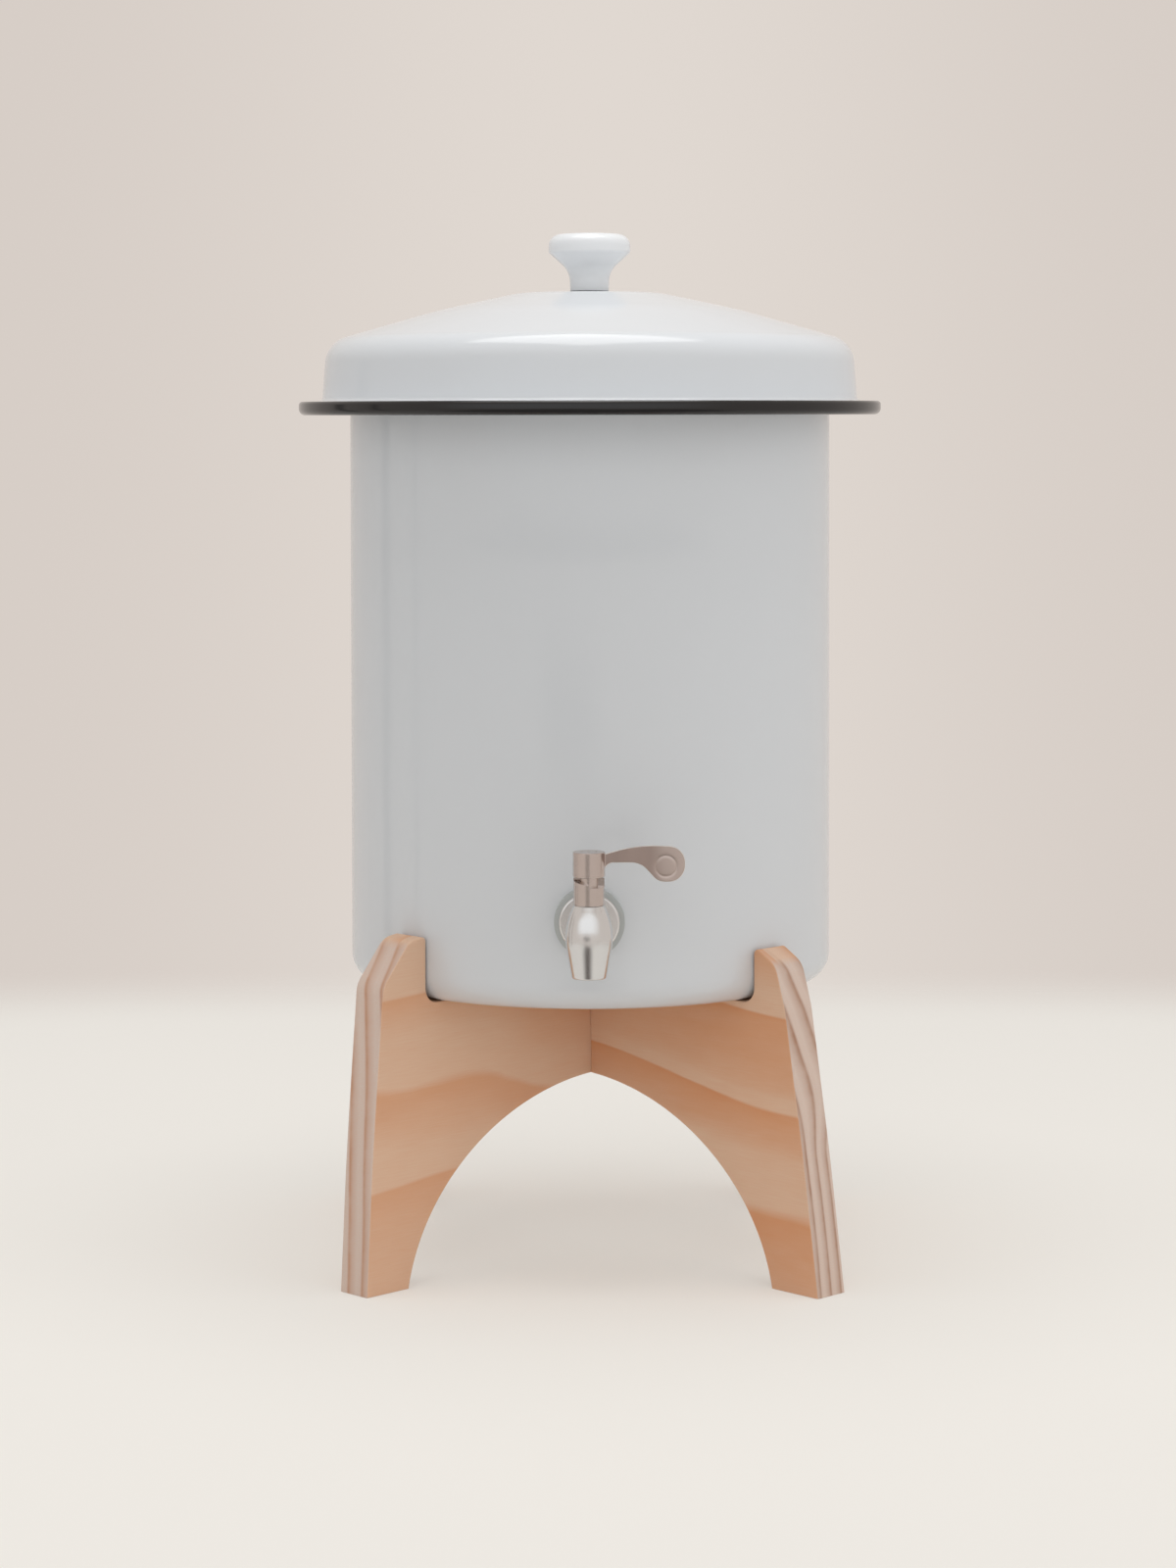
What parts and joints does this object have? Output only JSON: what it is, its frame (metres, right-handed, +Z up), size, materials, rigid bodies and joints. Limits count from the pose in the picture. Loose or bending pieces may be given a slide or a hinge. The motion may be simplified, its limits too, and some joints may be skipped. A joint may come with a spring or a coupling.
{
  "type": "gravity water filter with tap",
  "caption": "Enamelled bucket on a cross-lapped wooden stand, holding a clay filter pot under a lift-off domed lid, with a rotary lever tap near its base.",
  "frame": {"origin": "on the floor under the bucket's axis, midway between the four feet", "axes": "+Z up along the bucket's axis, -Y towards the tap, +X to the right of someone facing the tap"},
  "size_m": [0.364, 0.3896, 0.6354],
  "materials": {
    "pine": "planed, oiled",
    "white_enamel": "gloss vitreous enamel",
    "lid_enamel": "gloss vitreous enamel, rolled edge in black",
    "knob_enamel": "gloss enamel",
    "clay": "unglazed, porous",
    "ring_plastic": "moulded",
    "cast_steel": "tumbled and polished stainless casting",
    "turned_steel": "turned stainless",
    "spring_steel": "drawn wire",
    "silicone": "translucent silicone",
    "dark_gasket": "thin sheet gasket"
  },
  "bodies": {
    "stand": {"lower_cross_board": "pine", "upper_cross_board": "pine"},
    "tank": {"bucket": "white_enamel", "tap_body": "cast_steel", "tap_bonnet": "turned_steel", "stem_seal": "dark_gasket", "tap_outer_gasket": "silicone", "tap_inner_gasket": "silicone", "tap_washer": "turned_steel", "tap_nut": "turned_steel", "tap_spring": "spring_steel"},
    "plunger": {"tap_stem": "turned_steel", "tap_stopper": "silicone"},
    "handle": {"tap_lever": "cast_steel", "tap_cap_nut": "turned_steel"},
    "filter": {"filter_pot": "clay", "pot_ring": "ring_plastic"},
    "cover": {"lid": "lid_enamel", "lid_knob": "knob_enamel", "knob_gasket": "dark_gasket", "knob_washer": "turned_steel", "knob_screw": "turned_steel"}
  },
  "joints": [
    {"name": "tank_lift", "type": "slide", "parent": "stand", "child": "tank", "axis": [0, 0, 1], "range_m": [0, 0.05]},
    {"name": "filter_lift", "type": "slide", "parent": "tank", "child": "filter", "axis": [0, 0, 1], "range_m": [0, 0.24]},
    {"name": "lid_lift", "type": "slide", "parent": "filter", "child": "cover", "axis": [0, 0, 1], "range_m": [0, 0.1]},
    {"name": "stem_lift", "type": "slide", "parent": "tank", "child": "plunger", "axis": [0, 0, 1], "range_m": [0, 0.0028], "deforming": ["tap_spring"]},
    {"name": "lever_turn", "type": "hinge", "parent": "plunger", "child": "handle", "pos_m": [0, -0.194, 0.2559], "axis": [0, 0, -1], "range_deg": [0, 90]}
  ],
  "couplings": [
    {"joint": "stem_lift", "follows": "lever_turn", "m_per_rad": 0.0017825}
  ]
}
